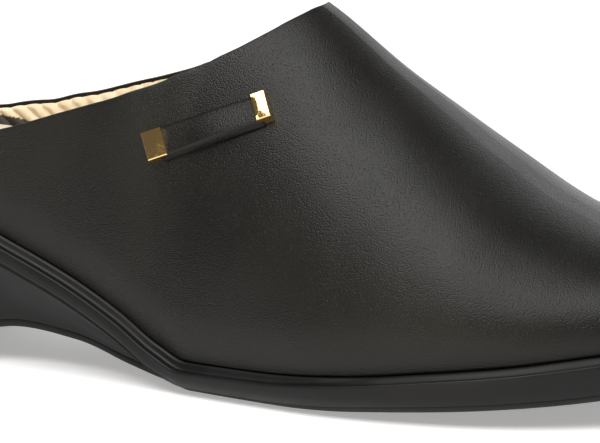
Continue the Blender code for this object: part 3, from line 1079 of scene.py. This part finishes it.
def make_cap(name, share, length, material, node):
    """A metal clip: a slightly pillowed face, and sides that slope out to the upper."""
    point, forward, normal, down = strap_frame(share)
    half = CAP_WIDTH / 2
    points = []

    def add(u, v, lift):
        points.append(point + forward * u + down * v + normal * lift)

    steps = CAP_FACE_STEPS
    for i in range(steps + 1):
        for j in range(steps + 1):
            u = 2 * i / steps - 1
            v = 2 * j / steps - 1
            crown = CAP_CROWN * (1 - u * u) * (1 - v * v)
            add(u * (length / 2 - CAP_BEVEL), v * (half - CAP_BEVEL), CAP_HEIGHT + crown)
    faces = grid_faces(steps + 1, steps + 1, closed=False)
    border = [i * (steps + 1) for i in range(steps)]
    border += [steps * (steps + 1) + j for j in range(steps)]
    border += [i * (steps + 1) + steps for i in range(steps, 0, -1)]
    border += [j for j in range(steps, 0, -1)]
    first = len(points)
    rim = []
    for index in border:
        local = points[index] - point
        u = local.dot(forward) * (length / 2) / (length / 2 - CAP_BEVEL)
        v = local.dot(down) * half / (half - CAP_BEVEL)
        rim.append((u, v))
    for u, v in rim:
        add(u, v, CAP_HEIGHT - CAP_BEVEL)
    second = len(points)
    for u, v in rim:
        add(u, v + CAP_FOOT * max(0.0, v / half) ** CAP_FLARE_POWER, CAP_LIFT)
    around = len(border)
    for k in range(around):
        n = (k + 1) % around
        faces.append((border[k], border[n], first + n, first + k))
        faces.append((first + k, first + n, second + n, second + k))
    item = mesh_object(name, points, faces, material, node)
    item.data.set_sharp_from_angle(angle=math.radians(CAP_SHARP_ANGLE))
    return item


# Stage: floor, lights and camera. A light's place is its direction from the shoe, in degrees from
# the outer side toward the toe and up from the floor, and its distance. Its glow is radiance.
# Columns: azimuth, elevation, distance, width, height, glow, colour.

FLOOR_SIZE = 6.0
FLOOR_GREY = (0.90, 0.90, 0.90, 1.0)
FLOOR_ROUGHNESS = 0.9
FLOOR_GLOW = 0.34
WHITE = (1.0, 1.0, 1.0, 1.0)
WORLD_GLOW = 0.13
LIGHTS = {
    "overhead_softbox": (4, 65, 1.5, 1.5, 1.35, 5.0, (1.0, 0.99, 0.97)),
    "back_screen": (180, 18, 1.6, 3.0, 0.9, 1.3, (1.0, 1.0, 1.0)),
    "warm_front_lamp": (3, 7, 1.15, 0.30, 0.30, 9.0, (1.0, 0.84, 0.62)),
}


def make_floor():
    m = Shader("studio_white")
    m.set(Base_Color=FLOOR_GREY, Roughness=FLOOR_ROUGHNESS)
    m.set(Emission_Color=WHITE, Emission_Strength=FLOOR_GLOW)
    bpy.ops.mesh.primitive_plane_add(size=FLOOR_SIZE, location=(0.0, 0.0, 0.0))
    floor = bpy.context.object
    floor.name = "studio_floor"
    floor.data.materials.append(m.material)
    return floor


def make_world():
    world = bpy.data.worlds.new("studio")
    bpy.context.scene.world = world
    world.use_nodes = True
    background = world.node_tree.nodes["Background"]
    background.inputs["Color"].default_value = WHITE
    background.inputs["Strength"].default_value = WORLD_GLOW


def toward(azimuth, elevation):
    """Unit vector from the shoe to a direction."""
    a, e = math.radians(azimuth), math.radians(elevation)
    return Vector((math.sin(a) * math.cos(e), -math.cos(a) * math.cos(e), math.sin(e)))


def make_lights():
    for name, (azimuth, elevation, distance, width, height, glow, colour) in LIGHTS.items():
        data = bpy.data.lights.new(name, "AREA")
        data.shape = "RECTANGLE"
        data.size = width
        data.size_y = height
        data.energy = glow * math.pi * width * height
        data.color = colour
        item = bpy.data.objects.new(name, data)
        away = toward(azimuth, elevation)
        item.location = away * distance
        item.rotation_euler = (-away).to_track_quat("-Z", "Y").to_euler()
        bpy.context.scene.collection.objects.link(item)


def make_camera():
    away = toward(CAMERA_AZIMUTH, CAMERA_ELEVATION)
    stand = BALL_EDGE + away * CAMERA_DISTANCE
    ahead = -away
    right = ahead.cross(Vector((0, 0, 1))).normalized()
    up = right.cross(ahead)
    focal = PIXELS_PER_METRE * CAMERA_DISTANCE
    across = (IMAGE_WIDTH / 2 - BALL_EDGE_PIXEL[0]) / focal
    down = (IMAGE_HEIGHT / 2 - BALL_EDGE_PIXEL[1]) / focal
    axis = (ahead + right * across - up * down).normalized()
    right = axis.cross(up).normalized()
    up = right.cross(axis).normalized()
    data = bpy.data.cameras.new("camera")
    data.sensor_width = SENSOR_WIDTH
    data.lens = focal / IMAGE_WIDTH * data.sensor_width
    data.clip_end = VIEW_END
    item = bpy.data.objects.new("camera", data)
    turn = Matrix((right, up, -axis)).transposed().to_4x4()
    item.matrix_world = Matrix.Translation(stand) @ turn
    bpy.context.scene.collection.objects.link(item)
    bpy.context.scene.camera = item


leather = leather_material()
gold = gold_material()
make_upper(leather)
make_lining(lining_material())
make_insole(insole_material())
make_midsole(sole_material("black_moulded_sole", MOULDED_ROUGHNESS, MOULDED_RELIEF))
make_outsole(sole_material("black_tread_rubber", TREAD_ROUGHNESS, TREAD_RELIEF))
make_strap(leather)
make_cap("cap_back_gold", 0.0, CAP_BACK_LENGTH, gold, "cap_back")
make_cap("cap_front_gold", 1.0, CAP_FRONT_LENGTH, gold, "cap_front")
make_floor()
make_world()
make_lights()
make_camera()
bpy.context.scene.view_settings.view_transform = "Standard"
